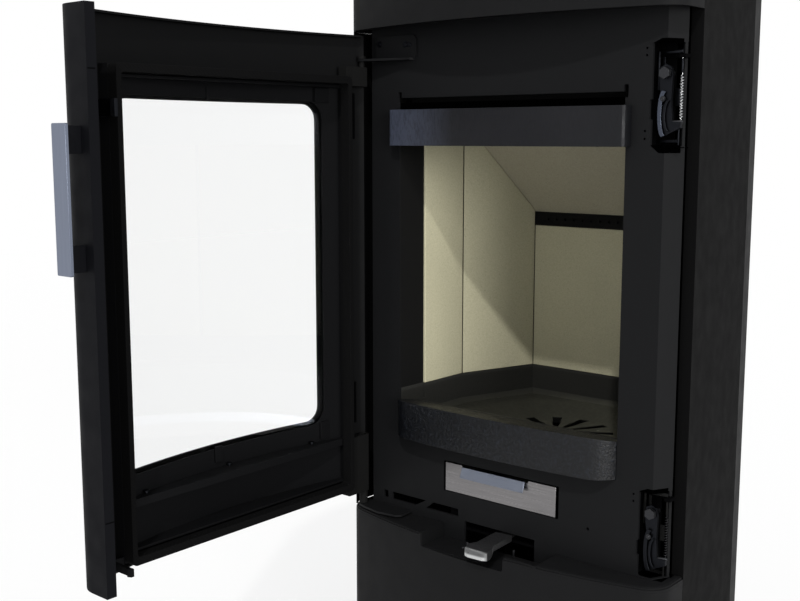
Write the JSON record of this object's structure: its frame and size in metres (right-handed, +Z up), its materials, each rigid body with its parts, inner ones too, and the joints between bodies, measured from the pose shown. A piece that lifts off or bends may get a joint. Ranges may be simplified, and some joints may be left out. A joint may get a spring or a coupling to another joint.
{
  "type": "wood stove",
  "caption": "Curved-front upright stove with brick-lined firebox, cast grate, ash drawer, air lever and a side-hinged bowed glass door standing open.",
  "frame": {"origin": "centre of the base plate's underside, in the plane of the firebox front plate", "axes": "+Z up, +X to the right of someone facing the stove, front towards -Y"},
  "size_m": [0.5155, 0.8532, 1.052],
  "materials": {
    "black_paint": "fine-textured heat-resistant satin",
    "dark_steel": "matt",
    "blued_steel": "brushed, heat-blued",
    "cast_iron": "sand-cast",
    "vermiculite": "pressed board, matt",
    "stainless": "brushed",
    "chrome": "polished",
    "glass": "clear ceramic",
    "seal_rope": "woven glass rope"
  },
  "bodies": {
    "stove": {"base_plate": "dark_steel", "foot_front_left": "dark_steel", "foot_front_right": "dark_steel", "foot_rear_left": "dark_steel", "foot_rear_right": "dark_steel", "lower_cover": "black_paint", "upper_cover": "black_paint", "side_panel_left": "black_paint", "side_panel_right": "black_paint", "hinge_side_post": "black_paint", "rear_panel": "dark_steel", "rear_outlet_cover": "dark_steel", "top_plate": "black_paint", "flue_collar": "cast_iron", "firebox_shell": "dark_steel", "front_plate": "black_paint", "air_wash_lintel": "blued_steel", "fire_jamb_left": "dark_steel", "fire_jamb_right": "dark_steel", "lining_front_left": "vermiculite", "lining_front_right": "vermiculite", "lining_rear_left": "vermiculite", "lining_rear_right": "vermiculite", "lining_back": "vermiculite", "secondary_air_strip": "dark_steel", "baffle": "vermiculite", "smoke_deflector": "dark_steel", "fire_bowl": "cast_iron", "ash_lip": "cast_iron", "ash_chamber": "dark_steel", "air_box": "dark_steel", "latch_bracket_upper": "dark_steel", "latch_bracket_lower": "dark_steel", "latch_pivot_upper": "stainless", "latch_pivot_lower": "stainless", "latch_spring_upper": "stainless", "latch_spring_lower": "stainless", "hinge_bracket_upper": "stainless", "hinge_bracket_lower": "stainless", "hinge_pin_upper": "stainless", "hinge_pin_lower": "stainless"},
    "door": {"door_skin": "black_paint", "door_glass": "glass", "door_inner_frame": "dark_steel", "door_shelf": "dark_steel", "door_seal": "seal_rope", "latch_tab_upper": "stainless", "latch_tab_lower": "stainless", "door_handle": "stainless", "handle_mount_upper": "dark_steel", "handle_mount_lower": "dark_steel", "door_knuckle_upper": "dark_steel", "door_knuckle_lower": "dark_steel"},
    "latch_upper": {"latch_cam_upper": "dark_steel"},
    "latch_lower": {"latch_cam_lower": "dark_steel"},
    "ash_drawer": {"ash_drawer": "stainless", "ash_drawer_front": "stainless"},
    "air_lever": {"air_lever": "dark_steel", "air_lever_grip": "chrome"}
  },
  "joints": [
    {"name": "door_hinge", "type": "hinge", "parent": "stove", "child": "door", "pos_m": [-0.227, -0.018, 0.5], "axis": [0, 0, -1], "range_deg": [-89.8, 12]},
    {"name": "upper_latch_pivot", "type": "hinge", "parent": "stove", "child": "latch_upper", "pos_m": [0.219, 0.0105, 0.8326], "axis": [0, -1, 0], "range_deg": [0, 7], "stiffness_Nm_per_rad": 4, "springref_deg": -2.86, "deforming": ["latch_spring_upper"]},
    {"name": "lower_latch_pivot", "type": "hinge", "parent": "stove", "child": "latch_lower", "pos_m": [0.219, 0.0105, 0.311], "axis": [0, -1, 0], "range_deg": [0, 7], "stiffness_Nm_per_rad": 4, "springref_deg": -2.86, "deforming": ["latch_spring_lower"]},
    {"name": "ash_drawer_slide", "type": "slide", "parent": "stove", "child": "ash_drawer", "axis": [0, -1, 0], "range_m": [0, 0.18]},
    {"name": "air_lever_pivot", "type": "hinge", "parent": "stove", "child": "air_lever", "pos_m": [0, 0.165, 0.236], "axis": [0, 0, 1], "range_deg": [-18, 10]}
  ]
}
